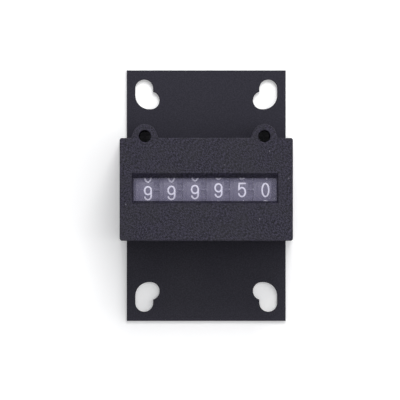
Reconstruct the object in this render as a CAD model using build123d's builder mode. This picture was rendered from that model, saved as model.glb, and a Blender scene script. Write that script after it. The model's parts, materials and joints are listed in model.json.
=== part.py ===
"""Six-figure electromechanical panel counter on an adapter plate.

Frame: X to the right, Y up, Z out of the window towards the reader.
The origin is the centre of the adapter plate's back face. Millimetres.
The number wheels turn about an axis along X; counting up is a positive turn about +X.
Angles called "count angles" run from the front (+Z) the way the front of a wheel moves (-Y).
"""

import os
from math import acos, atan2, cos, degrees, pi, radians, sin, tan

from build123d import *

os.makedirs("parts", exist_ok=True)

# ---- adapter plate -------------------------------------------------------
PLATE_WIDTH = 51.0
PLATE_HEIGHT = 80.4
PLATE_THICK = 1.5
SLOT_R = 2.85                    # both lobes of a kidney slot
SLOT_OUTER = (19.9, 34.4)        # lobe nearer the plate's corner
SLOT_INNER = (17.85, 30.6)       # lobe nearer the plate's middle
SLOT_BEND_R = 1.6                # bend of the slot's centre line
SLOT_CORNER_R = SLOT_BEND_R + SLOT_R

# ---- case ----------------------------------------------------------------
CASE_WIDTH = 55.3
CASE_HEIGHT = 32.8
CASE_Y = 2.0                     # middle of the case above the plate's middle
CASE_BACK = PLATE_THICK
CASE_FRONT = 37.5
CASE_CORNER_R = 0.8
CASE_EDGE_R = 0.25
WALL = 1.8
FRONT_WALL = 2.4
CAVITY_WIDTH = CASE_WIDTH - 2 * WALL
CAVITY_HEIGHT = CASE_HEIGHT - 2 * WALL
CAVITY_FRONT = CASE_FRONT - FRONT_WALL
CAVITY_TOP = CASE_Y + CAVITY_HEIGHT / 2
CAVITY_BOTTOM = CASE_Y - CAVITY_HEIGHT / 2

EARS = [(-19.6, 18.96), (18.5, 18.96)]
EAR_R = 3.85
EAR_FOOT = 8.6                   # width where an ear meets the case
EAR_BORE_R = 1.9
EAR_RIM = 0.15
EAR_SEAT = 4.7                   # where the screw heads sit
EAR_BOSS_R = 3.1                 # wall round the bore inside the case
EAR_SHANK_R = 1.1
EAR_HEAD_R = 1.75
EAR_HEAD = 1.6
SCREW_SLOT = 0.5

# ---- window --------------------------------------------------------------
WINDOW_OUTER = (-23.8, 22.95, -2.5, 7.15)      # left, right, bottom, top at the face
WINDOW_INNER = (-23.2, 22.55, -1.71, 5.68)     # the same at the lip
SLOPE_DEPTH = 1.2                # the window's sloped sides
LIP_DEPTH = 0.4                  # the straight edge below them
LENS_WIDTH = 48.4
LENS_HEIGHT = 10.8
LENS_X = -0.4
LENS_FRONT = CASE_FRONT - SLOPE_DEPTH - LIP_DEPTH
LENS_GAP = 0.1

# ---- rear cover ----------------------------------------------------------
COVER_THICK = 2.0
COVER_FRONT = CASE_BACK + COVER_THICK
COVER_GAP = 0.12
WELL_Y = -6.5
WELL_WIDTH = 18.0
WELL_HEIGHT = 9.0
WELL_WALL = 1.0
WELL_TOP = 12.5
BOSS_TOP = 11.5
SCREW_DEPTH = 9.5
COVER_POSTS = [(-20.3, 13.2), (18.6, 13.2), (-13.5, -10.4), (13.5, -10.4)]
COVER_POST_R = 1.9
COVER_SCREW_R = 0.8
COVER_HEAD_R, COVER_HEAD = 1.6, 0.8
PLATE_POSTS = [(-20.5, -10.2), (20.5, -10.2)]
PLATE_POST_R = 2.2
PLATE_SCREW_R = 1.0
PLATE_HEAD_R, PLATE_HEAD = 2.2, 1.2
HEAD_GAP = 0.1                   # room round a screw's head and shank
THREAD_RUN = 0.4                 # depth of a screw hole beyond its screw
BLADE_X = 4.5
BLADE_WIDTH = 4.75               # 0.187 in tab
BLADE_THICK = 0.8
BLADE_TIP, BLADE_ROOT = 3.0, 13.4
BLADE_CHAMFER = 1.0
BLADE_HOLE_R = 0.8

# ---- movement ------------------------------------------------------------
WHEEL_Y, WHEEL_Z = 2.0, 25.4
WHEEL_R = 9.12
PITCH = 7.5                      # from one figure to the next
PLACES = ["units", "tens", "hundreds", "thousands", "ten_thousands", "hundred_thousands"]
FIGURES = [0, 5, 9, 9, 9, 9]     # what each wheel shows at rest
FIGURE_ANGLE = 36.0
UNITS_X = 2.5 * PITCH
SHAFT_R = 1.25
RUNNING_GAP = 0.05
HUB_R = 2.6
POCKET_R = 6.0
POCKET_DEPTH = 4.0
DISC_START, DRUM_START, DRUM_END, GEAR_END = -3.65, -2.4, 2.0, 3.5
DISC_R = 8.4
CARRY_GAP_R = 1.15               # the notch between a disc's two driver teeth

MODULE = 0.8
PRESSURE_ANGLE = 20.0
GEAR_TEETH = 20
PINION_TEETH = 8
BACKLASH = 0.14
GEAR_ROOT_R, GEAR_TIP_R = 7.0, 8.7
PINION_ROOT_R, PINION_TIP_R = 2.2, 3.95
CENTRE_DISTANCE = MODULE * (GEAR_TEETH + PINION_TEETH) / 2
PINION_COUNT_ANGLE = 135.0       # direction of the pinions from the wheel shaft
PINION_Y = WHEEL_Y - CENTRE_DISTANCE * sin(radians(PINION_COUNT_ANGLE))
PINION_Z = WHEEL_Z + CENTRE_DISTANCE * cos(radians(PINION_COUNT_ANGLE))
PINION_SHAFT_R = 1.0
SLEEVE_R = 1.8
SIDE_GAP = 0.1                   # axial play between turning pieces
SHORT_TOOTH_END = 3.4
LONG_TOOTH_END = 3.75

FRAME_X = 23.6                   # inner faces of the side plates
FRAME_THICK = 0.8
FRAME_BOTTOM, FRAME_TOP = CAVITY_BOTTOM + 0.2, CAVITY_TOP - 0.2
TIE_RODS = [(-10.8, 28.0), (14.2, 31.0), (-11.3, 14.2)]
TIE_ROD_R = 1.25
RIVET_R = 0.8
RIVET_HEAD_R, RIVET_HEAD = 1.3, 0.4
CLIP_START, CLIP_END = 24.5, 25.0
CLIP_RIM = 1.1                   # how far a clip stands out from its shaft
GROOVE_DEPTH = 0.3
SHAFT_END = 25.3

# ---- drive ---------------------------------------------------------------
RATCHET_START, RATCHET_END = 20.95, 22.2
RATCHET_TEETH = 10
RATCHET_ROOT_R, RATCHET_TIP_R = 4.7, 6.0
RATCHET_TIP_HALF = 3.0           # half of a tooth's flat tip, in degrees
RATCHET_HUB_R = 3.4
COIL_Y, COIL_Z = 5.5, 9.8
COIL_R = 5.5
COIL_LEFT, COIL_RIGHT = -14.0, 12.0
FLANGE = 1.0
BOBBIN_WALL = 0.7
CORE_R = 2.5
POLE_THICK = 1.5
POLE_TIP_Y = 12.9
POLE_FOOT, FOOT_THICK = 4.5, 1.2
MAGNET_RIVET_R = 1.0
MAGNET_RIVETS = [COIL_LEFT - 3.5, COIL_RIGHT + 3.5]
ARMATURE_Y, ARMATURE_Z = 14.2, 15.0
ARMATURE_THICK = 1.2
ARMATURE_LEFT, ARMATURE_RIGHT = -16.5, 14.5
ARMATURE_TAIL, ARMATURE_HEAD = 5.0, 13.4
PIN_R = 0.75
BARREL_R = 1.6
BARREL = 4.0
VERGE_SLEEVE_R = 1.3
VERGE_HUB_R = 1.9
VERGE_ARM, PALLET = 1.7, 1.1     # widths of its arms and pallets
VERGE_START, VERGE_END = 21.1, 22.1
# each pallet: its direction from the wheel shaft to either side of the line of
# centres, and the radii of its tip and of the arm that carries it
PALLET_SPREAD = 63.0
PALLETS = [(-1, 6.25, 8.4), (1, 7.4, 9.4)]
SPRING_X = -4.0
SPRING_R = 1.05
WIRE_R = 0.15
SPRING_TURNS = 5
SPRING_PITCH = 0.4
SPRING_LEG_END = 7.5


def across(x, y=0.0, z=0.0):
    """Plane facing +X whose own x runs along Y and own y along Z."""
    return Plane(origin=(x, y, z), x_dir=(0, 1, 0), z_dir=(1, 0, 0))


def keep(builder, name):
    """Label a finished piece and write its STEP file."""
    builder.part.label = name
    export_step(builder.part, f"parts/{name}.step")


def polar(radius, angle):
    """Point at a radius and an angle in degrees."""
    return (radius * cos(radians(angle)), radius * sin(radians(angle)))


def plane_angle(count_angle):
    """Angle in an across() plane of a count angle."""
    return 90.0 + count_angle


def half_tooth(radius, teeth):
    """Half of an involute tooth's angle, in degrees, at a radius."""
    pitch_r = MODULE * teeth / 2
    base_r = pitch_r * cos(radians(PRESSURE_ANGLE))
    at_pitch = (pi * MODULE / 2 - BACKLASH) / (2 * pitch_r)
    lean = acos(min(1.0, base_r / radius))
    pitch_lean = radians(PRESSURE_ANGLE)
    return degrees(at_pitch + tan(pitch_lean) - pitch_lean - tan(lean) + lean)


def tooth_outline(teeth, root_r, tip_r, angle):
    """Closed outline of one tooth, standing on the root circle at an angle."""
    foot_r = root_r - 0.3
    base_r = MODULE * teeth / 2 * cos(radians(PRESSURE_ANGLE))
    start_r = max(root_r, base_r)
    radii = [foot_r, start_r, (start_r + tip_r) / 2, tip_r]
    flank = [(radius, half_tooth(max(radius, start_r), teeth)) for radius in radii]
    right = [polar(radius, angle - half) for radius, half in flank]
    left = [polar(radius, angle + half) for radius, half in reversed(flank)]
    return right + left


def countersunk_screw(x, y, back, head_r, shank_r, head_height, length):
    """Countersunk screw along Z with its head's flat face at the back."""
    with Locations((x, y, back)):
        Cone(head_r, shank_r, head_height, align=(Align.CENTER, Align.CENTER, Align.MIN))
        Cylinder(shank_r, length, align=(Align.CENTER, Align.CENTER, Align.MIN))
        Box(1.5 * head_r, SCREW_SLOT, head_height, mode=Mode.SUBTRACT)


# ---- adapter plate -------------------------------------------------------
with BuildSketch() as kidney_slots:
    bend = (SLOT_OUTER[0] - SLOT_BEND_R, SLOT_INNER[1] + SLOT_BEND_R)
    with Locations(SLOT_OUTER, SLOT_INNER):
        Circle(SLOT_R)
    with BuildLine():
        foot = (bend[0], SLOT_INNER[1] - SLOT_R)
        side = (SLOT_OUTER[0] + SLOT_R, bend[1])
        Line((SLOT_INNER[0], foot[1]), foot)
        RadiusArc(foot, side, -SLOT_CORNER_R)
        Polyline(
            side,
            (side[0], SLOT_OUTER[1]),
            (SLOT_OUTER[0] - SLOT_R, SLOT_OUTER[1]),
            (SLOT_OUTER[0] - SLOT_R, SLOT_INNER[1]),
            SLOT_INNER,
            (SLOT_INNER[0], foot[1]),
        )
    make_face()
    mirror(about=Plane.XZ)
    mirror(about=Plane.YZ)

with BuildPart() as mounting_plate:
    with BuildSketch():
        Rectangle(PLATE_WIDTH, PLATE_HEIGHT)
        add(kidney_slots.sketch, mode=Mode.SUBTRACT)
        with Locations((0, WELL_Y)):
            Rectangle(WELL_WIDTH + 2.0, WELL_HEIGHT + 2.0, mode=Mode.SUBTRACT)
        with Locations(*EARS):
            Circle(PLATE_SCREW_R, mode=Mode.SUBTRACT)
    extrude(amount=PLATE_THICK)
    with Locations(*[(x, y, 0) for x, y in PLATE_POSTS]):
        Cone(
            PLATE_HEAD_R + HEAD_GAP,
            PLATE_SCREW_R + HEAD_GAP,
            PLATE_HEAD,
            align=(Align.CENTER, Align.CENTER, Align.MIN),
            mode=Mode.SUBTRACT,
        )
        Cylinder(PLATE_SCREW_R + HEAD_GAP, 4 * PLATE_THICK, mode=Mode.SUBTRACT)
keep(mounting_plate, "mounting_plate")

# ---- case ----------------------------------------------------------------
with BuildPart() as case_shell:
    with BuildSketch(Plane.XY.offset(CASE_BACK)):
        with Locations((0, CASE_Y)):
            RectangleRounded(CASE_WIDTH, CASE_HEIGHT, CASE_CORNER_R)
    extrude(amount=CASE_FRONT - CASE_BACK)
    for ear_x, ear_y in EARS:
        with BuildSketch(Plane.XY.offset(CASE_BACK)):
            with Locations((ear_x, ear_y)):
                Circle(EAR_R)
            with Locations((ear_x, CASE_Y + CASE_HEIGHT / 2)):
                Rectangle(EAR_FOOT, EAR_R, align=(Align.CENTER, Align.MAX))
            make_hull()
        extrude(amount=CASE_FRONT - CASE_BACK)
    fillet(case_shell.faces().sort_by(Axis.Z)[-1].outer_wire().edges(), CASE_EDGE_R)
    with BuildSketch(Plane.XY.offset(CASE_BACK)):
        with Locations((0, CASE_Y)):
            Rectangle(CAVITY_WIDTH, CAVITY_HEIGHT)
        with Locations(*EARS):
            Circle(EAR_BOSS_R, mode=Mode.SUBTRACT)
    extrude(amount=CAVITY_FRONT - CASE_BACK, mode=Mode.SUBTRACT)
    # screw posts, tied to the nearest wall
    for posts, post_r in ((COVER_POSTS, COVER_POST_R), (PLATE_POSTS, PLATE_POST_R)):
        for post_x, post_y in posts:
            wall_y = CAVITY_TOP + 0.5 if post_y > CASE_Y else CAVITY_BOTTOM - 0.5
            with BuildSketch(Plane.XY.offset(COVER_FRONT)):
                with Locations((post_x, post_y)):
                    Circle(post_r)
                with Locations((post_x, (post_y + wall_y) / 2)):
                    Rectangle(post_r, abs(wall_y - post_y))
            extrude(amount=BOSS_TOP - COVER_FRONT)
    with BuildSketch(Plane.XY.offset(COVER_FRONT)):
        with Locations(*COVER_POSTS):
            Circle(COVER_SCREW_R)
        with Locations(*PLATE_POSTS):
            Circle(PLATE_SCREW_R)
    extrude(amount=SCREW_DEPTH + THREAD_RUN - COVER_FRONT, mode=Mode.SUBTRACT)
    # ears
    with BuildSketch(Plane.XY.offset(EAR_SEAT)):
        with Locations(*EARS):
            Circle(EAR_BORE_R)
    extrude(amount=CASE_FRONT - EAR_SEAT, mode=Mode.SUBTRACT)
    with Locations(*[(x, y, CASE_FRONT) for x, y in EARS]):
        Cone(
            EAR_BORE_R,
            EAR_BORE_R + EAR_RIM,
            EAR_RIM,
            align=(Align.CENTER, Align.CENTER, Align.MAX),
            mode=Mode.SUBTRACT,
        )
    with BuildSketch(Plane.XY.offset(CASE_BACK)):
        with Locations(*EARS):
            Circle(EAR_SHANK_R)
    extrude(amount=EAR_SEAT - CASE_BACK, mode=Mode.SUBTRACT)
    # window with sloped sides and a straight lip, and the pocket for the lens behind it
    slope_end = CASE_FRONT - SLOPE_DEPTH
    for (left, right, bottom, top), level in ((WINDOW_OUTER, CASE_FRONT), (WINDOW_INNER, slope_end)):
        with BuildSketch(Plane.XY.offset(level)):
            with Locations(((left + right) / 2, (bottom + top) / 2)):
                Rectangle(right - left, top - bottom)
    loft(mode=Mode.SUBTRACT)
    left, right, bottom, top = WINDOW_INNER
    with BuildSketch(Plane.XY.offset(LENS_FRONT)):
        with Locations(((left + right) / 2, (bottom + top) / 2)):
            Rectangle(right - left, top - bottom)
    extrude(amount=LIP_DEPTH, mode=Mode.SUBTRACT)
    with BuildSketch(Plane.XY.offset(CAVITY_FRONT)):
        with Locations((LENS_X, CASE_Y)):
            Rectangle(LENS_WIDTH + 2 * LENS_GAP, LENS_HEIGHT + 2 * LENS_GAP)
    extrude(amount=LENS_FRONT - CAVITY_FRONT, mode=Mode.SUBTRACT)
keep(case_shell, "case_shell")

with BuildPart() as window_lens:
    with BuildSketch(Plane.XY.offset(CAVITY_FRONT)):
        with Locations((LENS_X, CASE_Y)):
            RectangleRounded(LENS_WIDTH, LENS_HEIGHT, 0.4)
    extrude(amount=LENS_FRONT - CAVITY_FRONT)
keep(window_lens, "window_lens")

with BuildPart() as ear_screws:
    for ear_x, ear_y in EARS:
        with Locations((ear_x, ear_y, EAR_SEAT)):
            Cylinder(EAR_HEAD_R, EAR_HEAD, align=(Align.CENTER, Align.CENTER, Align.MIN))
        with Locations((ear_x, ear_y, 0.2)):
            Cylinder(PLATE_SCREW_R, EAR_SEAT, align=(Align.CENTER, Align.CENTER, Align.MIN))
        with Locations(Location((ear_x, ear_y, EAR_SEAT + EAR_HEAD), (0, 0, 80))):
            Box(3 * EAR_HEAD_R, SCREW_SLOT, EAR_HEAD, mode=Mode.SUBTRACT)
keep(ear_screws, "ear_screws")

# ---- rear cover ----------------------------------------------------------
with BuildPart() as rear_cover:
    with BuildSketch(Plane.XY.offset(CASE_BACK)):
        with Locations((0, CASE_Y)):
            Rectangle(CAVITY_WIDTH - 2 * COVER_GAP, CAVITY_HEIGHT - 2 * COVER_GAP)
        with Locations(*EARS):
            Circle(EAR_BOSS_R + COVER_GAP, mode=Mode.SUBTRACT)
        with Locations(*PLATE_POSTS):
            Circle(EAR_SHANK_R, mode=Mode.SUBTRACT)
    extrude(amount=COVER_THICK)
    with BuildSketch(Plane.XY.offset(CASE_BACK)):
        with Locations((0, WELL_Y)):
            RectangleRounded(WELL_WIDTH + 2 * WELL_WALL, WELL_HEIGHT + 2 * WELL_WALL, 1.2)
    extrude(amount=WELL_TOP - CASE_BACK)
    with BuildSketch(Plane.XY.offset(CASE_BACK)):
        with Locations((0, WELL_Y)):
            RectangleRounded(WELL_WIDTH, WELL_HEIGHT, 0.6)
    extrude(amount=WELL_TOP - WELL_WALL - CASE_BACK, mode=Mode.SUBTRACT)
    with BuildSketch(Plane.XY.offset(CASE_BACK)):
        with Locations((-BLADE_X, WELL_Y), (BLADE_X, WELL_Y)):
            Rectangle(BLADE_THICK, BLADE_WIDTH)
    extrude(amount=WELL_TOP - CASE_BACK, mode=Mode.SUBTRACT)
    with Locations(*[(x, y, CASE_BACK) for x, y in COVER_POSTS]):
        Cone(
            COVER_HEAD_R + HEAD_GAP,
            COVER_SCREW_R + HEAD_GAP,
            COVER_HEAD + HEAD_GAP,
            align=(Align.CENTER, Align.CENTER, Align.MIN),
            mode=Mode.SUBTRACT,
        )
        Cylinder(COVER_SCREW_R + HEAD_GAP, 4 * COVER_THICK, mode=Mode.SUBTRACT)
    with Locations(*[(x, COIL_Y, CASE_BACK) for x in MAGNET_RIVETS]):
        Cylinder(MAGNET_RIVET_R, 2 * COVER_THICK, mode=Mode.SUBTRACT)
keep(rear_cover, "rear_cover")

with BuildPart() as cover_screws:
    for post_x, post_y in COVER_POSTS:
        length = SCREW_DEPTH - CASE_BACK
        countersunk_screw(post_x, post_y, CASE_BACK, COVER_HEAD_R, COVER_SCREW_R, COVER_HEAD, length)
keep(cover_screws, "cover_screws")

with BuildPart() as plate_screws:
    for post_x, post_y in PLATE_POSTS:
        countersunk_screw(post_x, post_y, 0.05, PLATE_HEAD_R, PLATE_SCREW_R, PLATE_HEAD, SCREW_DEPTH)
keep(plate_screws, "plate_screws")

with BuildPart() as terminal_blades:
    for blade_x in (-BLADE_X, BLADE_X):
        with BuildSketch(across(blade_x - BLADE_THICK / 2, WELL_Y, 0)):
            with BuildLine():
                Polyline(
                    (-BLADE_WIDTH / 2, BLADE_ROOT),
                    (-BLADE_WIDTH / 2, BLADE_TIP + BLADE_CHAMFER),
                    (-BLADE_WIDTH / 2 + BLADE_CHAMFER, BLADE_TIP),
                    (BLADE_WIDTH / 2 - BLADE_CHAMFER, BLADE_TIP),
                    (BLADE_WIDTH / 2, BLADE_TIP + BLADE_CHAMFER),
                    (BLADE_WIDTH / 2, BLADE_ROOT),
                    close=True,
                )
            make_face()
            with Locations((0, BLADE_TIP + BLADE_WIDTH / 2)):
                Circle(BLADE_HOLE_R, mode=Mode.SUBTRACT)
        extrude(amount=BLADE_THICK)
keep(terminal_blades, "terminal_blades")

# ---- movement frame ------------------------------------------------------
for side_name, side_x in (("left", -FRAME_X - FRAME_THICK), ("right", FRAME_X)):
    with BuildPart() as side_plate:
        with BuildSketch(across(side_x)):
            with Locations(((FRAME_BOTTOM + FRAME_TOP) / 2, (COVER_FRONT + CAVITY_FRONT) / 2)):
                RectangleRounded(FRAME_TOP - FRAME_BOTTOM, CAVITY_FRONT - COVER_FRONT, 1.0)
            with Locations((WHEEL_Y, WHEEL_Z)):
                Circle(SHAFT_R, mode=Mode.SUBTRACT)
            with Locations((PINION_Y, PINION_Z)):
                Circle(PINION_SHAFT_R, mode=Mode.SUBTRACT)
            with Locations((ARMATURE_Y, ARMATURE_Z)):
                Circle(PIN_R, mode=Mode.SUBTRACT)
            with Locations(*TIE_RODS):
                Circle(RIVET_R, mode=Mode.SUBTRACT)
            with Locations((COIL_Y, COIL_Z)):
                Circle(3.0, mode=Mode.SUBTRACT)
        extrude(amount=FRAME_THICK)
    keep(side_plate, f"side_plate_{side_name}")

with BuildPart() as tie_rods:
    for rod_y, rod_z in TIE_RODS:
        with BuildSketch(across(-FRAME_X, rod_y, rod_z)):
            Circle(TIE_ROD_R)
        extrude(amount=2 * FRAME_X)
        rivet_end = FRAME_X + FRAME_THICK
        with BuildSketch(across(-rivet_end, rod_y, rod_z)):
            Circle(RIVET_R)
        extrude(amount=2 * rivet_end)
        for head_x in (-rivet_end - RIVET_HEAD, rivet_end):
            with BuildSketch(across(head_x, rod_y, rod_z)):
                Circle(RIVET_HEAD_R)
            extrude(amount=RIVET_HEAD)
keep(tie_rods, "tie_rods")

for shaft_name, shaft_y, shaft_z, shaft_r in (
    ("wheel_shaft", WHEEL_Y, WHEEL_Z, SHAFT_R),
    ("pinion_shaft", PINION_Y, PINION_Z, PINION_SHAFT_R),
):
    with BuildPart() as shaft:
        with BuildSketch(across(-SHAFT_END, shaft_y, shaft_z)):
            Circle(shaft_r)
        extrude(amount=2 * SHAFT_END)
        for groove_x in (-CLIP_END, CLIP_START):
            with BuildSketch(across(groove_x, shaft_y, shaft_z)):
                Circle(shaft_r)
                Circle(shaft_r - GROOVE_DEPTH, mode=Mode.SUBTRACT)
            extrude(amount=CLIP_END - CLIP_START, mode=Mode.SUBTRACT)
    keep(shaft, shaft_name)

with BuildPart() as shaft_clips:
    for shaft_y, shaft_z, shaft_r in (
        (WHEEL_Y, WHEEL_Z, SHAFT_R),
        (PINION_Y, PINION_Z, PINION_SHAFT_R),
    ):
        for groove_x in (-CLIP_END, CLIP_START):
            with BuildSketch(across(groove_x, shaft_y, shaft_z)):
                Circle(shaft_r + CLIP_RIM)
                Circle(shaft_r - GROOVE_DEPTH, mode=Mode.SUBTRACT)
                mouth = (1.6 * (shaft_r - GROOVE_DEPTH), shaft_r + CLIP_RIM)
                Rectangle(*mouth, align=(Align.CENTER, Align.MAX), mode=Mode.SUBTRACT)
            extrude(amount=CLIP_END - CLIP_START)
keep(shaft_clips, "shaft_clips")

first_disc = UNITS_X - 5 * PITCH + DISC_START
with BuildPart() as wheel_spacers:
    for start, end in ((-FRAME_X, first_disc - SIDE_GAP), (RATCHET_END + SIDE_GAP, FRAME_X)):
        with BuildSketch(across(start, WHEEL_Y, WHEEL_Z)):
            Circle(HUB_R)
            Circle(SHAFT_R, mode=Mode.SUBTRACT)
        extrude(amount=end - start)
keep(wheel_spacers, "wheel_spacers")

last_pinion_end = UNITS_X - PITCH + LONG_TOOTH_END
with BuildPart() as pinion_spacers:
    for start, end in ((-FRAME_X, first_disc - SIDE_GAP), (last_pinion_end + SIDE_GAP, FRAME_X)):
        with BuildSketch(across(start, PINION_Y, PINION_Z)):
            Circle(SLEEVE_R)
            Circle(PINION_SHAFT_R, mode=Mode.SUBTRACT)
        extrude(amount=end - start)
keep(pinion_spacers, "pinion_spacers")

# ---- number wheels -------------------------------------------------------
for place, (place_name, figure) in enumerate(zip(PLACES, FIGURES)):
    wheel_x = UNITS_X - place * PITCH
    # the two driver teeth pass the pinion half way between figure 9 and figure 0
    steps_past_carry = 0.5 + figure if figure < 9 else -0.5
    driver = plane_angle(PINION_COUNT_ANGLE + FIGURE_ANGLE * steps_past_carry)
    with BuildPart() as wheel:
        with BuildSketch(across(wheel_x + DISC_START, WHEEL_Y, WHEEL_Z)):
            Circle(DISC_R)
            with Locations(polar(GEAR_TIP_R, driver)):
                Circle(CARRY_GAP_R, mode=Mode.SUBTRACT)
            for side in (-1, 1):
                angle = driver + side * 180.0 / GEAR_TEETH
                with BuildLine():
                    Polyline(*tooth_outline(GEAR_TEETH, GEAR_ROOT_R, GEAR_TIP_R, angle), close=True)
                make_face()
        extrude(amount=DRUM_START - DISC_START)
        with BuildSketch(across(wheel_x + DRUM_START, WHEEL_Y, WHEEL_Z)):
            Circle(WHEEL_R)
        extrude(amount=DRUM_END - DRUM_START)
        wheel_end = DRUM_END
        if place > 0:
            wheel_end = GEAR_END
            with BuildSketch(across(wheel_x + DRUM_END, WHEEL_Y, WHEEL_Z)):
                Circle(GEAR_ROOT_R)
                for tooth in range(GEAR_TEETH):
                    angle = plane_angle(PINION_COUNT_ANGLE) + (tooth + 0.5) * 360.0 / GEAR_TEETH
                    with BuildLine():
                        Polyline(*tooth_outline(GEAR_TEETH, GEAR_ROOT_R, GEAR_TIP_R, angle), close=True)
                    make_face()
            extrude(amount=GEAR_END - DRUM_END)
        with BuildSketch(across(wheel_x + wheel_end - POCKET_DEPTH, WHEEL_Y, WHEEL_Z)):
            Circle(POCKET_R)
            Circle(HUB_R, mode=Mode.SUBTRACT)
        extrude(amount=POCKET_DEPTH, mode=Mode.SUBTRACT)
        with BuildSketch(across(wheel_x + DISC_START, WHEEL_Y, WHEEL_Z)):
            Circle(SHAFT_R + RUNNING_GAP)
        extrude(amount=GEAR_END - DISC_START, mode=Mode.SUBTRACT)
    keep(wheel, f"number_wheel_{place_name}")

# ---- carry pinions: eight teeth, every other one short -------------------
to_wheel = plane_angle(PINION_COUNT_ANGLE) - 180.0
for number in range(1, len(PLACES)):
    driven_x = UNITS_X - number * PITCH
    teeth_start = driven_x + DRUM_END + SIDE_GAP
    with BuildPart() as pinion:
        with BuildSketch(across(driven_x + DISC_START, PINION_Y, PINION_Z)):
            Circle(SLEEVE_R)
        extrude(amount=LONG_TOOTH_END - DISC_START)
        for first, tooth_end in ((0, SHORT_TOOTH_END), (1, LONG_TOOTH_END)):
            with BuildSketch(across(teeth_start, PINION_Y, PINION_Z)):
                Circle(PINION_ROOT_R)
                for tooth in range(first, PINION_TEETH, 2):
                    angle = to_wheel + tooth * 360.0 / PINION_TEETH
                    with BuildLine():
                        Polyline(
                            *tooth_outline(PINION_TEETH, PINION_ROOT_R, PINION_TIP_R, angle),
                            close=True,
                        )
                    make_face()
            extrude(amount=driven_x + tooth_end - teeth_start)
        with BuildSketch(across(driven_x + DISC_START, PINION_Y, PINION_Z)):
            Circle(PINION_SHAFT_R + RUNNING_GAP)
        extrude(amount=LONG_TOOTH_END - DISC_START, mode=Mode.SUBTRACT)
    keep(pinion, f"transfer_pinion_{number}")

# ---- star wheel on the units wheel ---------------------------------------
with BuildPart() as drive_ratchet:
    with BuildSketch(across(RATCHET_START, WHEEL_Y, WHEEL_Z)):
        with BuildLine():
            corners = []
            for tooth in range(RATCHET_TEETH):
                tip_angle = tooth * 360.0 / RATCHET_TEETH
                corners.append(polar(RATCHET_TIP_R, tip_angle - RATCHET_TIP_HALF))
                corners.append(polar(RATCHET_TIP_R, tip_angle + RATCHET_TIP_HALF))
                corners.append(polar(RATCHET_ROOT_R, tip_angle + 180.0 / RATCHET_TEETH))
            Polyline(*corners, close=True)
        make_face()
    extrude(amount=RATCHET_END - RATCHET_START)
    with BuildSketch(across(UNITS_X + DRUM_END, WHEEL_Y, WHEEL_Z)):
        Circle(RATCHET_HUB_R)
    extrude(amount=RATCHET_START - UNITS_X - DRUM_END)
    with BuildSketch(across(UNITS_X + DRUM_END, WHEEL_Y, WHEEL_Z)):
        Circle(SHAFT_R + RUNNING_GAP)
    extrude(amount=RATCHET_END - UNITS_X - DRUM_END, mode=Mode.SUBTRACT)
keep(drive_ratchet, "drive_ratchet")

# ---- electromagnet -------------------------------------------------------
with BuildPart() as coil_bobbin:
    with BuildSketch(across(COIL_LEFT, COIL_Y, COIL_Z)):
        Circle(CORE_R + BOBBIN_WALL)
    extrude(amount=COIL_RIGHT - COIL_LEFT)
    for flange_x in (COIL_LEFT, COIL_RIGHT - FLANGE):
        with BuildSketch(across(flange_x, COIL_Y, COIL_Z)):
            Circle(COIL_R)
        extrude(amount=FLANGE)
    with BuildSketch(across(COIL_LEFT, COIL_Y, COIL_Z)):
        Circle(CORE_R)
    extrude(amount=COIL_RIGHT - COIL_LEFT, mode=Mode.SUBTRACT)
keep(coil_bobbin, "coil_bobbin")

with BuildPart() as coil_winding:
    with BuildSketch(across(COIL_LEFT + FLANGE, COIL_Y, COIL_Z)):
        Circle(COIL_R - 0.5)
        Circle(CORE_R + BOBBIN_WALL, mode=Mode.SUBTRACT)
    extrude(amount=COIL_RIGHT - COIL_LEFT - 2 * FLANGE)
keep(coil_winding, "coil_winding")

with BuildPart() as magnet_core:
    with BuildSketch(across(COIL_LEFT - POLE_THICK, COIL_Y, COIL_Z)):
        Circle(CORE_R)
    extrude(amount=COIL_RIGHT - COIL_LEFT + 2 * POLE_THICK)
keep(magnet_core, "magnet_core")

for side_name, pole_x, foot_x, rivet_x in (
    ("left", COIL_LEFT - POLE_THICK, COIL_LEFT - POLE_THICK - POLE_FOOT, MAGNET_RIVETS[0]),
    ("right", COIL_RIGHT, COIL_RIGHT + POLE_THICK, MAGNET_RIVETS[1]),
):
    with BuildPart() as pole_plate:
        with BuildSketch(across(pole_x)):
            with BuildLine():
                Polyline(
                    (1.5, COVER_FRONT),
                    (9.5, COVER_FRONT),
                    (9.5, 7.0),
                    (POLE_TIP_Y, 7.0),
                    (POLE_TIP_Y, 12.6),
                    (8.5, 13.9),
                    (2.5, 13.9),
                    (1.5, 12.9),
                    close=True,
                )
            make_face()
            with Locations((COIL_Y, COIL_Z)):
                Circle(CORE_R, mode=Mode.SUBTRACT)
        extrude(amount=POLE_THICK)
        with BuildSketch(Plane.XY.offset(COVER_FRONT)):
            with Locations((foot_x + POLE_FOOT / 2, COIL_Y)):
                Rectangle(POLE_FOOT, 8.0)
            with Locations((rivet_x, COIL_Y)):
                Circle(MAGNET_RIVET_R, mode=Mode.SUBTRACT)
        extrude(amount=FOOT_THICK)
    keep(pole_plate, f"pole_plate_{side_name}")

with BuildPart() as magnet_rivets:
    for rivet_x in MAGNET_RIVETS:
        with Locations((rivet_x, COIL_Y, CASE_BACK)):
            Cylinder(
                MAGNET_RIVET_R,
                COVER_THICK + FOOT_THICK,
                align=(Align.CENTER, Align.CENTER, Align.MIN),
            )
        with Locations((rivet_x, COIL_Y, COVER_FRONT + FOOT_THICK)):
            Cylinder(1.6 * MAGNET_RIVET_R, 0.8, align=(Align.CENTER, Align.CENTER, Align.MIN))
keep(magnet_rivets, "magnet_rivets")

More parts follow.
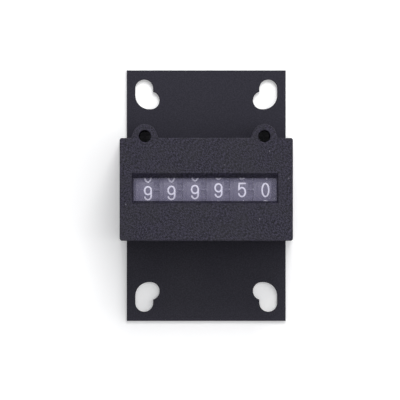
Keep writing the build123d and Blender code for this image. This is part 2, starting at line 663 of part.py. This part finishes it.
# ---- armature, its pin, verge and return spring --------------------------
with BuildPart() as armature:
    with BuildSketch(Plane.XZ.offset(-ARMATURE_Y - ARMATURE_THICK / 2)):
        with Locations(((ARMATURE_LEFT + ARMATURE_RIGHT) / 2, (ARMATURE_TAIL + ARMATURE_HEAD) / 2)):
            Rectangle(ARMATURE_RIGHT - ARMATURE_LEFT, ARMATURE_HEAD - ARMATURE_TAIL)
    extrude(amount=ARMATURE_THICK)
    for barrel_x in (ARMATURE_LEFT, ARMATURE_RIGHT - BARREL):
        with BuildSketch(across(barrel_x)):
            with Locations((ARMATURE_Y, ARMATURE_Z)):
                Circle(BARREL_R)
            with Locations((ARMATURE_Y, ARMATURE_HEAD)):
                Rectangle(ARMATURE_THICK, 1.4)
            with Locations((ARMATURE_Y, ARMATURE_Z)):
                Circle(PIN_R + RUNNING_GAP, mode=Mode.SUBTRACT)
        extrude(amount=BARREL)
keep(armature, "armature")

line_of_centres = degrees(atan2(ARMATURE_Z - WHEEL_Z, ARMATURE_Y - WHEEL_Y))
with BuildPart() as verge:
    with BuildSketch(across(VERGE_START)):
        with Locations((ARMATURE_Y, ARMATURE_Z)):
            Circle(VERGE_HUB_R)
        for side, tip_r, arm_r in PALLETS:
            toward = line_of_centres - side * PALLET_SPREAD
            tip_y, tip_z = polar(tip_r, toward)
            arm_y, arm_z = polar(arm_r, toward)
            arm_end = (WHEEL_Y + arm_y, WHEEL_Z + arm_z)
            with BuildLine() as arm:
                Line((ARMATURE_Y, ARMATURE_Z), arm_end)
            trace(line_width=VERGE_ARM)
            with Locations(arm_end):
                Circle(VERGE_ARM / 2)
            with BuildLine() as pallet:
                Line(arm_end, (WHEEL_Y + tip_y, WHEEL_Z + tip_z))
            trace(line_width=PALLET)
    extrude(amount=VERGE_END - VERGE_START)
    with BuildSketch(across(ARMATURE_RIGHT, ARMATURE_Y, ARMATURE_Z)):
        Circle(VERGE_SLEEVE_R)
    extrude(amount=VERGE_START - ARMATURE_RIGHT)
    with BuildSketch(across(ARMATURE_RIGHT, ARMATURE_Y, ARMATURE_Z)):
        Circle(PIN_R + RUNNING_GAP)
    extrude(amount=VERGE_END - ARMATURE_RIGHT, mode=Mode.SUBTRACT)
keep(verge, "verge")

with BuildPart() as armature_pin:
    with BuildSketch(across(-SHAFT_END, ARMATURE_Y, ARMATURE_Z)):
        Circle(PIN_R)
    extrude(amount=2 * SHAFT_END)
keep(armature_pin, "armature_pin")

# the spring's coil starts and ends on the magnet's side of the pin; one leg runs down to
# push the armature off the poles, the other up to bear on the tie rod behind the wheels
spring_place = Plane((SPRING_X, ARMATURE_Y, ARMATURE_Z), x_dir=(0, -1, 0), z_dir=(1, 0, 0))
spring_coil = spring_place * Helix(SPRING_PITCH, SPRING_TURNS * SPRING_PITCH, SPRING_R, lefthand=True)
coil_start = spring_coil @ 0
coil_end = spring_coil @ 1
plate_leg = Vector(coil_start.X, ARMATURE_Y - ARMATURE_THICK / 2 - WIRE_R, SPRING_LEG_END)
rod_leg = Vector(coil_end.X, TIE_RODS[1][0] - TIE_ROD_R - WIRE_R, TIE_RODS[1][1] + 0.5)
with BuildPart() as return_spring:
    with BuildLine() as spring_path:
        Line(plate_leg, coil_start)
        add(spring_coil)
        Line(coil_end, rod_leg)
    with BuildSketch(Plane(origin=plate_leg, z_dir=coil_start - plate_leg)):
        Circle(WIRE_R)
    sweep(path=spring_path.line, is_frenet=True)
keep(return_spring, "return_spring")
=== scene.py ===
"""Looks of the six-figure panel counter: surface materials, printed figures, studio and camera."""
import json
import math

import bpy
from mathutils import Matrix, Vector


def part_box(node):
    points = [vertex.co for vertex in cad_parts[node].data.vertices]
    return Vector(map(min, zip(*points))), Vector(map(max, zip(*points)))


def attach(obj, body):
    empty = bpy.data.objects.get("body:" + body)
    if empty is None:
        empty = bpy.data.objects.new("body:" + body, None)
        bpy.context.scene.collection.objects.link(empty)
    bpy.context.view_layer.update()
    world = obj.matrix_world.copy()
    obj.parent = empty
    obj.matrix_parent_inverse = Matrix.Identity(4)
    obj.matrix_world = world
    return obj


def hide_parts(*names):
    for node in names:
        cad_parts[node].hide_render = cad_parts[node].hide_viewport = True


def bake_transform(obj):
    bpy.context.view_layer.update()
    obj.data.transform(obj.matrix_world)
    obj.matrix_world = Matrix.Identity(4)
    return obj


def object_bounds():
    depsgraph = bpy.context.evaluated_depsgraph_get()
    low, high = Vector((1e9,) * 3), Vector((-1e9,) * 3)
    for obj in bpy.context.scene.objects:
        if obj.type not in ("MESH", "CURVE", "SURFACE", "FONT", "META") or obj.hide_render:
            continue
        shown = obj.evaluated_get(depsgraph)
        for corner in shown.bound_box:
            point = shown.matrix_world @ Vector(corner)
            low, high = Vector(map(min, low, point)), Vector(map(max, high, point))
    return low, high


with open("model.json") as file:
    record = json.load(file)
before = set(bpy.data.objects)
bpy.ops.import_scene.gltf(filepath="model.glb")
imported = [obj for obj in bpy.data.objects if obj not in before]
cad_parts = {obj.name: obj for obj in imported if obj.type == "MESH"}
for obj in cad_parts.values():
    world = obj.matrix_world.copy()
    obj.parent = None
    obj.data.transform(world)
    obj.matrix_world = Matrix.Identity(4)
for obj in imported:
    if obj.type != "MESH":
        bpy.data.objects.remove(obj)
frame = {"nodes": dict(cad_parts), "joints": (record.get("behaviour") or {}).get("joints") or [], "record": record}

MM = 0.001
cad_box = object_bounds()

# ---- sizes and places: the figures, the return spring and the joints ------
PLACES = ["units", "tens", "hundreds", "thousands", "ten_thousands", "hundred_thousands"]
FIGURES = [0, 5, 9, 9, 9, 9]             # what each wheel shows at rest
SLACK = [1.2, 1.2, 2.2, 5.5, 7.3, 7.9]   # degrees that each figure hangs below the reading line
FIGURE_STEP = 36.0
FIGURE_HEIGHT = 4.22 * MM                # of the strokes' centre lines
FIGURE_HALF_WIDTH = 1.05 * MM
FIGURE_MIDDLE = 3.78 * MM                # from the start of the wheel's disc
STROKE = 0.50 * MM
INK_LIFT = 0.02 * MM                     # of the ink's top above the drum
INK_SINK = 0.03 * MM                     # of its underside below the drum
LAYER_DROP = 0.2                         # share of the lift that a figure's second stroke loses
LONGEST_STEP = 0.2 * MM                  # along a stroke, so that it follows the drum
TOUCHING = 0.001 * MM                    # ends as near as this are one point

WIRE_R = 0.15 * MM
SPRING_R = 1.05 * MM
SPRING_TURNS = 5
POINTS_PER_TURN = 32
ARMATURE_THICK = 1.2 * MM


def pivot(joint_name):
    """Y and Z of a joint whose axis runs along X."""
    joint = next(j for j in frame["joints"] if j["name"] == joint_name)
    return joint["pos_m"][1:]


AXIS_Y, AXIS_Z = pivot("units_turn")
PIN_Y, PIN_Z = pivot("armature_rock")


# ---- node helpers ---------------------------------------------------------
def start_material(name):
    """A material with a Principled shader; returns it with its tree and shader."""
    material = bpy.data.materials.new(name)
    material.use_nodes = True
    tree = material.node_tree
    return material, tree, tree.nodes["Principled BSDF"]


def node(tree, kind, inputs=None, **settings):
    """A new node with its settings and input values."""
    made = tree.nodes.new(kind)
    for key, value in settings.items():
        setattr(made, key, value)
    for key, value in (inputs or {}).items():
        made.inputs[key].default_value = value
    return made


def object_coordinates(tree, scale=(1.0, 1.0, 1.0), turn=0.0):
    """Object coordinates in metres, turned about Z by an angle in degrees, then multiplied by scale."""
    source = node(tree, "ShaderNodeTexCoord")
    # a mapping of type TEXTURE turns first and then divides by its scale
    settings = {"Scale": tuple(1.0 / s for s in scale), "Rotation": (0.0, 0.0, math.radians(turn))}
    mapping = node(tree, "ShaderNodeMapping", settings, vector_type="TEXTURE")
    tree.links.new(source.outputs["Object"], mapping.inputs["Vector"])
    return mapping.outputs["Vector"]


def noise(tree, vector, scale, detail, roughness=0.5):
    """Noise texture's value, most of it between 0.3 and 0.7."""
    settings = {"Scale": scale, "Detail": detail, "Roughness": roughness}
    made = node(tree, "ShaderNodeTexNoise", settings)
    tree.links.new(vector, made.inputs["Vector"])
    return made.outputs["Fac"]


def cells(tree, vector, scale, feature="F1"):
    """Voronoi texture's distance."""
    made = node(tree, "ShaderNodeTexVoronoi", {"Scale": scale}, feature=feature)
    tree.links.new(vector, made.inputs["Vector"])
    return made.outputs["Distance"]


def ramp(tree, value, low, high, from_value=0.0, to_value=1.0):
    """Value stretched from low..high to from_value..to_value, and held at its ends beyond them."""
    made = node(
        tree,
        "ShaderNodeMapRange",
        {"From Min": low, "From Max": high, "To Min": from_value, "To Max": to_value},
    )
    tree.links.new(value, made.inputs["Value"])
    return made.outputs["Result"]


def blend_colors(tree, factor, first, second):
    """Mix of two colours, each a tuple or a socket."""
    made = node(tree, "ShaderNodeMix", data_type="RGBA")
    tree.links.new(factor, made.inputs["Factor"])
    for socket, color in ((made.inputs["A"], first), (made.inputs["B"], second)):
        if isinstance(color, tuple):
            socket.default_value = (*color, 1.0)
        else:
            tree.links.new(color, socket)
    return made.outputs["Result"]


def blend_values(tree, factor, first, second):
    """Mix of two values."""
    made = node(tree, "ShaderNodeMix", data_type="FLOAT")
    for name, value in (("Factor", factor), ("A", first), ("B", second)):
        tree.links.new(value, made.inputs[name])
    return made.outputs["Result"]


def combine(tree, operation, first, second):
    """Maths on two values, each a socket or a number."""
    made = node(tree, "ShaderNodeMath", operation=operation)
    for socket, value in zip(made.inputs, (first, second)):
        if isinstance(value, (int, float)):
            socket.default_value = value
        else:
            tree.links.new(value, socket)
    return made.outputs["Value"]


def bump(tree, height, strength, distance, normal=None):
    """Bump from a height, over another normal if one is given."""
    made = node(tree, "ShaderNodeBump", {"Strength": strength, "Distance": distance})
    tree.links.new(height, made.inputs["Height"])
    if normal is not None:
        tree.links.new(normal, made.inputs["Normal"])
    return made.outputs["Normal"]


def rounded_edges(tree, radius):
    """Normal that rolls over sharp edges within a radius."""
    return node(tree, "ShaderNodeBevel", {"Radius": radius}, samples=6).outputs["Normal"]


def edge_mask(tree, normal):
    """1 where the rolled-over normal turns away from the face's own, 0 on open faces."""
    geometry = node(tree, "ShaderNodeNewGeometry")
    dot = node(tree, "ShaderNodeVectorMath", operation="DOT_PRODUCT")
    tree.links.new(geometry.outputs["Normal"], dot.inputs[0])
    tree.links.new(normal, dot.inputs[1])
    open_face, sharp_edge = 0.995, 0.80
    return ramp(tree, dot.outputs["Value"], open_face, sharp_edge)


# ---- materials ------------------------------------------------------------
def case_material():
    """Black moulding with a fine leather grain of short slanted creases, painted shade in the creases, dust and
    softened edges.
    """
    material, tree, shader = start_material("case_grain")
    where = object_coordinates(tree)
    # the creases are stretched along a diagonal, and a slow noise chooses which of the two
    creases = [
        noise(tree, object_coordinates(tree, (1.0, 0.40, 0.8), turn), 3500.0, 2.0, 0.55)
        for turn in (45.0, -45.0)
    ]
    leaning = blend_values(tree, ramp(tree, noise(tree, where, 38.0, 1.0), 0.44, 0.56), *creases)
    pebbles = ramp(tree, cells(tree, where, 2500.0, "SMOOTH_F1"), 0.1, 0.7, 0.0, 0.4)
    grain = combine(tree, "ADD", ramp(tree, leaning, 0.30, 0.70), pebbles)
    # the second, near-black tone is painted shade in the creases of the grain; the first is the moulding's own
    # black
    raised, crease_shade = (0.0400, 0.0350, 0.0620), (0.0025, 0.0025, 0.0060)
    tone = blend_colors(tree, ramp(tree, grain, 0.40, 1.00), raised, crease_shade)
    drift = ramp(tree, noise(tree, where, 170.0, 2.0), 0.40, 0.62, 0.0, 0.30)
    clouded = blend_colors(tree, drift, tone, (0.0235, 0.0230, 0.0270))
    dust = combine(tree, "LESS_THAN", cells(tree, where, 170.0), 0.035)
    dusty = blend_colors(tree, combine(tree, "MULTIPLY", dust, 0.35), clouded, (0.30, 0.29, 0.33))
    soft = rounded_edges(tree, 0.18 * MM)
    rubbed = ramp(tree, leaning, 0.35, 0.7, 0.1, 0.5)
    worn = combine(tree, "MULTIPLY", edge_mask(tree, soft), rubbed)
    color = blend_colors(tree, worn, dusty, (0.042, 0.039, 0.056))
    tree.links.new(color, shader.inputs["Base Color"])
    tree.links.new(ramp(tree, leaning, 0.3, 0.7, 0.42, 0.58), shader.inputs["Roughness"])
    shader.inputs["Specular IOR Level"].default_value = 0.23
    tree.links.new(bump(tree, grain, 1.0, 0.06 * MM, soft), shader.inputs["Normal"])
    return material


def plate_material():
    """Satin black baked enamel with a fine speckle, a faint orange peel and rubbed edges."""
    material, tree, shader = start_material("plate_enamel")
    where = object_coordinates(tree)
    peel = noise(tree, where, 900.0, 2.0)
    handling = noise(tree, where, 38.0, 3.0, 0.6)
    dark, light = (0.0112, 0.0106, 0.0192), (0.0160, 0.0150, 0.0252)
    base = blend_colors(tree, ramp(tree, handling, 0.3, 0.7), dark, light)
    speckle = ramp(tree, noise(tree, where, 2800.0, 2.0), 0.38, 0.66, 0.0, 0.8)
    speckled = blend_colors(tree, speckle, base, (0.0275, 0.0252, 0.0390))
    soft = rounded_edges(tree, 0.14 * MM)
    rubbed = ramp(tree, peel, 0.4, 0.62, 0.05, 0.6)
    worn = combine(tree, "MULTIPLY", edge_mask(tree, soft), rubbed)
    color = blend_colors(tree, worn, speckled, (0.10, 0.096, 0.11))
    tree.links.new(color, shader.inputs["Base Color"])
    tree.links.new(ramp(tree, handling, 0.3, 0.7, 0.40, 0.52), shader.inputs["Roughness"])
    shader.inputs["Specular IOR Level"].default_value = 0.18
    tree.links.new(bump(tree, peel, 0.12, 0.03 * MM, soft), shader.inputs["Normal"])
    return material


def molded_material(name, light, dark, roughness, grain_scale=2600.0, grain=0.2):
    """Plain moulded plastic: two close tones, a fine surface grain and soft edges."""
    material, tree, shader = start_material(name)
    where = object_coordinates(tree)
    fine = noise(tree, where, grain_scale, 2.0)
    flow = ramp(tree, noise(tree, where, 240.0, 3.0), 0.3, 0.7)
    tree.links.new(blend_colors(tree, flow, light, dark), shader.inputs["Base Color"])
    sheen = ramp(tree, fine, 0.3, 0.7, roughness - 0.06, roughness + 0.08)
    tree.links.new(sheen, shader.inputs["Roughness"])
    shader.inputs["Specular IOR Level"].default_value = 0.4
    soft = rounded_edges(tree, 0.08 * MM)
    tree.links.new(bump(tree, fine, grain, 0.02 * MM, soft), shader.inputs["Normal"])
    return material


BRUSHED = (60.0, 2400.0, 2400.0)    # lines along X
EVEN = (500.0, 500.0, 500.0)


def metal_material(name, light, dark, roughness, stretch=BRUSHED, scratch=0.25, spots=0.0):
    """Metal with fine lines, mottled instead as far as spots says."""
    material, tree, shader = start_material(name)
    lines = noise(tree, object_coordinates(tree, stretch), 1.0, 3.0)
    blotch = noise(tree, object_coordinates(tree), 320.0, 3.0)
    lines_share = combine(tree, "MULTIPLY", lines, 1.0 - spots)
    pattern = combine(tree, "ADD", lines_share, combine(tree, "MULTIPLY", blotch, spots))
    color = blend_colors(tree, ramp(tree, pattern, 0.3, 0.7), light, dark)
    tree.links.new(color, shader.inputs["Base Color"])
    sheen = ramp(tree, pattern, 0.3, 0.7, roughness - 0.08, roughness + 0.12)
    tree.links.new(sheen, shader.inputs["Roughness"])
    shader.inputs["Metallic"].default_value = 1.0
    soft = rounded_edges(tree, 0.06 * MM)
    tree.links.new(bump(tree, lines, scratch, 0.01 * MM, soft), shader.inputs["Normal"])
    return material


def lens_material():
    """Clear acrylic with a pale lavender film, partly hazing by age and partly a painted reflection of the light
    above, with fine wiping marks along X.
    """
    material, tree, shader = start_material("lens_acrylic")
    wipes = noise(tree, object_coordinates(tree, (240.0, 2600.0, 400.0)), 1.0, 2.0)
    # the lavender film's colour and strength are partly hazing of the old acrylic and partly a painted reflection
    # of the light above
    film_strength = noise(tree, object_coordinates(tree), 90.0, 2.0)
    dark, light = (0.405, 0.380, 0.580), (0.445, 0.420, 0.620)
    hazing_and_reflection_film = blend_colors(tree, ramp(tree, wipes, 0.3, 0.7), dark, light)
    tree.links.new(hazing_and_reflection_film, shader.inputs["Base Color"])
    tree.links.new(ramp(tree, film_strength, 0.3, 0.7, 0.12, 0.15), shader.inputs["Alpha"])
    tree.links.new(ramp(tree, wipes, 0.3, 0.7, 0.10, 0.22), shader.inputs["Roughness"])
    shader.inputs["IOR"].default_value = 1.49
    return material


def ink_material():
    """White printed figures with a slightly uneven film."""
    material, tree, shader = start_material("figure_print")
    film = noise(tree, object_coordinates(tree), 1800.0, 3.0)
    thick, thin = (0.93, 0.91, 1.00), (0.84, 0.82, 0.95)
    color = blend_colors(tree, ramp(tree, film, 0.35, 0.7), thick, thin)
    tree.links.new(color, shader.inputs["Base Color"])
    tree.links.new(ramp(tree, film, 0.3, 0.7, 0.45, 0.6), shader.inputs["Roughness"])
    tree.links.new(bump(tree, film, 0.2, 0.01 * MM), shader.inputs["Normal"])
    return material


def coil_material():
    """Enamelled turns under dark varnished tape."""
    material, tree, shader = start_material("coil_turns")
    settings = {"Scale": 1.0, "Distortion": 1.2, "Detail": 2.0}
    turns = node(tree, "ShaderNodeTexWave", settings, bands_direction="X")
    tree.links.new(object_coordinates(tree, (1600.0, 900.0, 900.0)), turns.inputs["Vector"])
    crest = turns.outputs["Fac"]
    color = blend_colors(tree, crest, (0.045, 0.022, 0.014), (0.115, 0.055, 0.032))
    tree.links.new(color, shader.inputs["Base Color"])
    tree.links.new(ramp(tree, crest, 0.0, 1.0, 0.42, 0.26), shader.inputs["Roughness"])
    shader.inputs["Coat Weight"].default_value = 0.4
    tree.links.new(bump(tree, crest, 0.6, 0.05 * MM), shader.inputs["Normal"])
    return material


MATERIALS = {
    "case_plastic": case_material(),
    "plate_paint": plate_material(),
    "cover_plastic": molded_material(
        "cover_moulding", (0.030, 0.029, 0.034), (0.022, 0.021, 0.025), 0.58, 1500.0, 0.35
    ),
    "lens_clear": lens_material(),
    "wheel_plastic": molded_material(
        "wheel_moulding", (0.090, 0.083, 0.120), (0.074, 0.068, 0.100), 0.42, 2600.0, 0.15
    ),
    "figure_ink": ink_material(),
    "pinion_nylon": molded_material(
        "pinion_nylon", (0.78, 0.76, 0.68), (0.66, 0.63, 0.54), 0.40
    ),
    "ratchet_plastic": molded_material(
        "ratchet_acetal", (0.070, 0.066, 0.090), (0.055, 0.052, 0.072), 0.36
    ),
    "steel": metal_material("ground_steel", (0.62, 0.62, 0.63), (0.46, 0.46, 0.48), 0.26),
    "spring_steel": metal_material("spring_steel", (0.36, 0.36, 0.39), (0.22, 0.22, 0.25), 0.30),
    "zinc_plate": metal_material(
        "zinc_plate", (0.68, 0.67, 0.64), (0.50, 0.50, 0.49), 0.40, EVEN, 0.1, 0.8
    ),
    "brass": metal_material("terminal_brass", (0.84, 0.66, 0.34), (0.66, 0.48, 0.20), 0.28),
    "bobbin_plastic": molded_material(
        "bobbin_nylon", (0.50, 0.45, 0.32), (0.38, 0.33, 0.22), 0.48
    ),
    "coil_tape": coil_material(),
    "screw_black": metal_material("blackened_steel", (0.16, 0.16, 0.17), (0.09, 0.09, 0.10), 0.42),
}

for part in frame["record"]["subparts"]:
    shown = frame["nodes"][part["node"]]
    shown.data.materials.clear()
    shown.data.materials.append(MATERIALS[part["material_slot"]])


# ---- printed figures ------------------------------------------------------
def arc(centre_x, centre_y, radius_x, radius_y, start, end, count=28):
    """Points along an elliptical arc, angles in degrees."""
    angles = [math.radians(start + (end - start) * i / count) for i in range(count + 1)]
    return [(centre_x + radius_x * math.cos(a), centre_y + radius_y * math.sin(a)) for a in angles]


def half_turn(points):
    """The points turned upside down."""
    return [(-x, -y) for x, y in points]


def figure_strokes(figure):
    """Centre lines of a figure, in units of half its width and half its height."""
    loop = arc(0.0, 0.405, 1.0, 0.595, 90, 450, 44)
    tail = [(1.0, 0.405), (0.985, -0.30)] + arc(0.0, -0.405, 0.98, 0.595, 0, -161)
    return {
        0: [arc(0.0, 0.0, 1.0, 1.0, 90, 450, 52)],
        1: [[(-0.42, 0.62), (0.34, 1.0), (0.34, -1.0)]],
        2: [arc(0.0, 0.46, 0.98, 0.54, 165, -25) + [(-1.0, -1.0), (1.02, -1.0)]],
        3: [arc(-0.03, 0.52, 0.93, 0.48, 150, -80) + arc(0.0, -0.45, 1.02, 0.55, 80, -158)],
        4: [[(0.42, -1.0), (0.42, 0.90), (-1.08, -0.38), (1.06, -0.38)]],
        5: [[(0.98, 1.0), (-0.83, 1.0), (-0.95, 0.10)] + arc(0.0, -0.32, 1.03, 0.68, 138, -158)],
        6: [half_turn(loop), half_turn(tail)],
        7: [[(-1.0, 1.0), (1.0, 1.0), (-0.28, -1.0)]],
        8: [arc(0.0, 0.53, 0.88, 0.47, 90, 450, 40), arc(0.0, -0.45, 1.04, 0.55, 90, 450, 44)],
        9: [loop, tail],
    }[figure]


def subdivide(points, longest):
    """The same line with no step longer than longest."""
    fine = [points[0]]
    for (x0, y0), (x1, y1) in zip(points, points[1:]):
        steps = max(1, math.ceil(math.hypot(x1 - x0, y1 - y0) / longest))
        fine += [(x0 + (x1 - x0) * i / steps, y0 + (y1 - y0) * i / steps) for i in range(1, steps + 1)]
    return fine


def ribbon_sides(points, closed, half):
    """Left and right edges of a stroke of even width, mitred at its corners."""
    least_cosine = 0.45         # holds back the mitre of a sharp corner
    last = len(points) - 1
    left, right = [], []
    for i, (x, y) in enumerate(points):
        before = points[i - 1] if i else (points[-2] if closed else None)
        after = points[i + 1] if i < last else (points[1] if closed else None)
        normals = []
        for (ax, ay), (bx, by) in ((before or points[i], points[i]), (points[i], after or points[i])):
            length = math.hypot(bx - ax, by - ay)
            if length > 0:
                normals.append(Vector((-(by - ay) / length, (bx - ax) / length)))
        across = sum(normals, Vector((0.0, 0.0))).normalized()
        reach = half / max(least_cosine, across.dot(normals[0]))
        left.append((x + across.x * reach, y + across.y * reach))
        right.append((x - across.x * reach, y - across.y * reach))
    return left, right


def cap(centre, start, half, steps=6):
    """Points of a half circle round the end of a stroke, from start, turning left."""
    first = math.atan2(start[1] - centre[1], start[0] - centre[0])
    turns = [first + math.pi * i / steps for i in range(1, steps)]
    return [(centre[0] + half * math.cos(a), centre[1] + half * math.sin(a)) for a in turns]


def print_figures(place, shown_figure, slack):
    """Ten raised ink figures round one wheel's drum, as one piece riding on the wheel."""
    low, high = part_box(f"number_wheel_{place}")
    radius = (high.z - low.z) / 2
    middle_x = low.x + FIGURE_MIDDLE
    vertices, faces = [], []

    def on_drum(u, v, middle_angle, lift):
        """A point of a figure, u across and v up, laid round the drum at a height above it."""
        turn = middle_angle - v / radius
        r = radius + lift
        return (middle_x + u, AXIS_Y - r * math.sin(turn), AXIS_Z + r * math.cos(turn))

    def add_solid(outline_pairs, middle_angle, lift, closed):
        """Top, sides and, unless it is closed, ends of a stroke; its underside is in the drum."""
        first = len(vertices)
        count = len(outline_pairs)
        for pair in outline_pairs:
            for u, v in pair:
                vertices.append(on_drum(u, v, middle_angle, lift))
                vertices.append(on_drum(u, v, middle_angle, -INK_SINK))
        for i in range(count if closed else count - 1):
            a, b = first + 4 * i, first + 4 * ((i + 1) % count)
            faces.extend([(a, b, b + 2, a + 2), (a, a + 1, b + 1, b), (a + 2, b + 2, b + 3, a + 3)])
        if not closed:
            end = first + 4 * (count - 1)
            faces.extend([(first, first + 2, first + 3, first + 1), (end, end + 1, end + 3, end + 2)])

    def add_cap(centre, edge_start, edge_end, middle_angle, lift):
        """Round end of a stroke."""
        rim = [edge_start, *cap(centre, edge_start, STROKE / 2), edge_end]
        first = len(vertices)
        for u, v in rim:
            vertices.append(on_drum(u, v, middle_angle, lift))
            vertices.append(on_drum(u, v, middle_angle, -INK_SINK))
        faces.append([first + 2 * i for i in range(len(rim))])
        for i in range(len(rim) - 1):
            a = first + 2 * i
            faces.append((a, a + 1, a + 3, a + 2))

    for figure in range(10):
        middle_angle = math.radians(slack + (shown_figure - figure) * FIGURE_STEP)
        for layer, stroke in enumerate(figure_strokes(figure)):
            points = [(x * FIGURE_HALF_WIDTH, y * FIGURE_HEIGHT / 2) for x, y in stroke]
            closed = math.dist(points[0], points[-1]) < TOUCHING
            points = subdivide(points, LONGEST_STEP)
            # the strokes of one figure lie at different heights, so that their tops don't coincide
            lift = INK_LIFT * (1.0 - LAYER_DROP * layer)
            left, right = ribbon_sides(points, closed, STROKE / 2)
            pairs = list(zip(left, right))
            if closed:
                add_solid(pairs[:-1], middle_angle, lift, True)
            else:
                add_solid(pairs, middle_angle, lift, False)
                add_cap(points[0], left[0], right[0], middle_angle, lift)
                add_cap(points[-1], right[-1], left[-1], middle_angle, lift)

    mesh = bpy.data.meshes.new(f"figures_{place}")
    mesh.from_pydata(vertices, [], faces)
    mesh.validate()
    mesh.materials.append(MATERIALS["figure_ink"])
    piece = bpy.data.objects.new(f"figures_{place}", mesh)
    bpy.context.collection.objects.link(piece)
    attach(piece, f"{place}_wheel")


for place, shown_figure, slack in zip(PLACES, FIGURES, SLACK):
    print_figures(place, shown_figure, slack)


# ---- return spring: its coil winds round the armature's pin, from the armature to the tie rod ----
def spring_points():
    """From the leg on the armature, round the coil, to the leg on the tie rod."""
    low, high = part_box("return_spring")
    start_x, end_x = low.x + WIRE_R, high.x - WIRE_R
    count = SPRING_TURNS * POINTS_PER_TURN
    coil = []
    for i in range(count + 1):
        turn = 2 * math.pi * i / POINTS_PER_TURN
        x = start_x + (end_x - start_x) * i / count
        coil.append((x, PIN_Y - SPRING_R * math.cos(turn), PIN_Z + SPRING_R * math.sin(turn)))
    armature_leg = (start_x, PIN_Y - ARMATURE_THICK / 2 - WIRE_R, low.z)
    rod_leg = (end_x, low.y + WIRE_R, high.z)
    return [armature_leg, *coil, rod_leg]


def bent_wire(name, points, radius):
    """Round wire along a list of points, as a mesh."""
    curve = bpy.data.curves.new(name, "CURVE")
    curve.dimensions = "3D"
    curve.bevel_depth = radius
    curve.bevel_resolution = 3
    curve.use_fill_caps = True
    spline = curve.splines.new("POLY")
    spline.points.add(len(points) - 1)
    for made, point in zip(spline.points, points):
        made.co = (*point, 1.0)
    holder = bpy.data.objects.new(name, curve)
    mesh = bpy.data.meshes.new_from_object(holder)
    bpy.data.objects.remove(holder)
    for face in mesh.polygons:
        face.use_smooth = True
    return mesh


wire_points = spring_points()
wire_mesh = bent_wire("return_spring_wire", wire_points, WIRE_R)
wire_mesh.materials.append(MATERIALS["spring_steel"])
spring_wire = bpy.data.objects.new("return_spring_wire", wire_mesh)
bpy.context.collection.objects.link(spring_wire)
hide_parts("return_spring")
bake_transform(spring_wire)


# ---- studio ---------------------------------------------------------------
MIDDLE = (cad_box[0] + cad_box[1]) / 2
FLOOR_HALF = 3.0
FLOOR_GAP = 0.02 * MM
FLOOR_GLOW = 0.21                         # light of its own, which keeps the paper pale
SKY, SKY_STRENGTH = (0.95, 0.96, 1.0, 1.0), 0.30
# name, place, width, height and power of each softbox
SOFTBOXES = [
    ("key", (0.15, 0.90, 1.16), 0.60, 0.50, 10.5),
    ("overhead", (0.30, 0.25, 1.60), 1.6, 1.6, 11.5),
    ("right_fill", (1.3, 0.1, 0.8), 0.7, 0.7, 4.0),
]


def softbox(name, place, width, height, power):
    """Rectangular area light that faces the object and that the camera doesn't see."""
    light = bpy.data.lights.new(name, "AREA")
    light.shape = "RECTANGLE"
    light.size, light.size_y = width, height
    light.energy = power
    lamp = bpy.data.objects.new(name, light)
    lamp.location = place
    lamp.rotation_euler = (MIDDLE - lamp.location).to_track_quat("-Z", "Y").to_euler()
    lamp.visible_camera = False
    bpy.context.collection.objects.link(lamp)


def paper_material():
    """White paper with a faint tooth and a little light of its own."""
    material, tree, shader = start_material("white_sweep")
    tooth = noise(tree, object_coordinates(tree), 900.0, 3.0)
    color = blend_colors(tree, tooth, (0.92, 0.92, 0.92), (0.96, 0.96, 0.96))
    tree.links.new(color, shader.inputs["Base Color"])
    shader.inputs["Roughness"].default_value = 0.9
    shader.inputs["Specular IOR Level"].default_value = 0.1
    shader.inputs["Emission Color"].default_value = (1.0, 1.0, 1.0, 1.0)
    shader.inputs["Emission Strength"].default_value = FLOOR_GLOW
    return material


for settings in SOFTBOXES:
    softbox(*settings)

world = bpy.data.worlds.new("studio")
world.use_nodes = True
background = world.node_tree.nodes["Background"]
background.inputs["Color"].default_value = SKY
background.inputs["Strength"].default_value = SKY_STRENGTH
bpy.context.scene.world = world

floor_mesh = bpy.data.meshes.new("floor")
floor_z = cad_box[0].z - FLOOR_GAP
floor_corners = [
    (side_x * FLOOR_HALF, side_y * FLOOR_HALF, floor_z)
    for side_x, side_y in ((-1, -1), (1, -1), (1, 1), (-1, 1))
]
floor_mesh.from_pydata(floor_corners, [], [(0, 1, 2, 3)])
floor_mesh.materials.append(paper_material())
floor = bpy.data.objects.new("floor", floor_mesh)
bpy.context.collection.objects.link(floor)

bpy.context.scene.view_settings.view_transform = "Standard"

# ---- camera: straight down on the face, from far away ----------------------
VIEW_X, VIEW_Y = -2.0 * MM, -1.39 * MM    # the point at the middle of the view
VIEW_WIDTH = 128.0 * MM                   # seen at the height of the object's middle
CAMERA_HEIGHT = 5.5
SENSOR = 36.0                             # in millimetres, as the lens is
camera_data = bpy.data.cameras.new("camera")
camera_data.sensor_width = SENSOR
camera_data.lens = SENSOR * (CAMERA_HEIGHT - MIDDLE.z) / VIEW_WIDTH
camera_data.clip_start = 1.0
camera_data.clip_end = 2 * CAMERA_HEIGHT
camera = bpy.data.objects.new("camera", camera_data)
camera.location = (VIEW_X, VIEW_Y, CAMERA_HEIGHT)
bpy.context.collection.objects.link(camera)
bpy.context.scene.camera = camera
